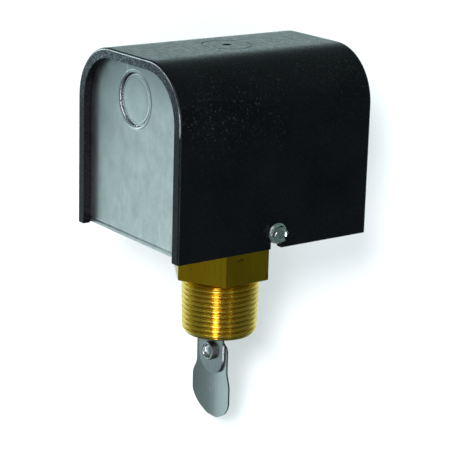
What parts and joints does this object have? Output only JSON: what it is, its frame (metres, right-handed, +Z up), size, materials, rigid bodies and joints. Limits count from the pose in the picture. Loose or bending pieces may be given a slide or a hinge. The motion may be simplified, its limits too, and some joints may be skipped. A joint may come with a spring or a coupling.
{
  "type": "paddle flow switch",
  "caption": "Paddle flow switch: black steel cover over a galvanised bracket with a snap switch, brass hex body with tapered pipe thread, and a stainless paddle on a sealed pivoting arm.",
  "frame": {"origin": "on the axis of the pipe thread, in the plane of the hex body's lower face", "axes": "+Z up along the thread axis from the paddle to the cover; +X along the pipe in the direction of flow, which is the long way of the cover; +Y across the pipe"},
  "size_m": [0.0953, 0.0826, 0.1629],
  "materials": {
    "cover_paint": "black textured enamel, semi-gloss",
    "galvanised": "galvanised sheet, soft spangle",
    "brass": "machined, unlacquered",
    "gasket": "matt",
    "bronze": "bright phosphor bronze",
    "zinc_plate": "zinc plated, clear",
    "stainless": "satin stainless steel",
    "spring_steel": "drawn wire, bright",
    "phenolic": "moulded phenolic",
    "nylon": "natural nylon",
    "silver": "silver faced",
    "fibre_card": "vulcanised fibre sheet",
    "green_paint": "green dyed screw",
    "screw_zinc": "zinc plated with a greenish passivation"
  },
  "bodies": {
    "housing": {"base_bracket": "galvanised", "knockout_slugs": "galvanised", "pipe_body": "brass", "body_gasket": "gasket", "body_locknut": "brass", "bellows": "bronze", "pivot_yoke": "zinc_plate", "yoke_screws": "zinc_plate", "pivot_pin": "stainless", "pin_clip": "spring_steel", "range_spring": "spring_steel", "switch_case": "phenolic", "switch_lid": "phenolic", "blade_pin": "stainless", "fixed_contacts": "silver", "terminal_plates": "brass", "terminal_screws": "zinc_plate", "insulating_card": "fibre_card", "switch_bracket": "galvanised", "switch_screws": "zinc_plate", "switch_nuts": "zinc_plate", "bracket_screws": "zinc_plate", "ground_screw": "green_paint", "cover_screws": "screw_zinc"},
    "cover_body": {"cover": "cover_paint"},
    "paddle_arm": {"arm_hub": "brass", "arm_rod": "stainless", "lever_stud": "stainless", "trip_lever": "zinc_plate", "lever_nut": "zinc_plate", "spring_cap": "brass", "arm_tab": "stainless", "paddle": "stainless", "cup_washer": "stainless", "lock_washer": "stainless", "paddle_screw": "stainless", "paddle_nut": "stainless"},
    "plunger": {"switch_plunger": "nylon"},
    "blade": {"contact_blade": "bronze"},
    "adjuster": {"adjusting_screw": "zinc_plate"},
    "seat": {"spring_seat": "brass"}
  },
  "joints": [
    {"name": "cover_lift", "type": "slide", "parent": "housing", "child": "cover_body", "axis": [0, 0, 1], "range_m": [0, 0.085]},
    {"name": "arm_pivot", "type": "hinge", "parent": "housing", "child": "paddle_arm", "pos_m": [0, 0, 0.034], "axis": [0, -1, 0], "range_deg": [0, 6], "stiffness_Nm_per_rad": 0.6, "springref_deg": -6.88, "deforming": ["range_spring"]},
    {"name": "plunger_push", "type": "slide", "parent": "housing", "child": "plunger", "axis": [0, 0, 1], "range_m": [0, 0.00091]},
    {"name": "blade_tip", "type": "hinge", "parent": "housing", "child": "blade", "pos_m": [0.021, -0.017, 0.05], "axis": [1, 0, 0], "range_deg": [0, 3.2]},
    {"name": "range_adjust", "type": "hinge", "parent": "housing", "child": "adjuster", "pos_m": [-0.024, 0, 0.023], "axis": [0, 0, 1], "range_deg": [0, 1080]},
    {"name": "seat_travel", "type": "slide", "parent": "housing", "child": "seat", "axis": [0, 0, 1], "range_m": [-0.0021, 0]}
  ],
  "couplings": [
    {"joint": "plunger_push", "follows": "arm_pivot", "m_per_rad": 0.0085944},
    {"joint": "blade_tip", "follows": "arm_pivot", "ratio": 0.52},
    {"joint": "range_adjust", "follows": "seat_travel", "rad_per_m": -8976}
  ]
}
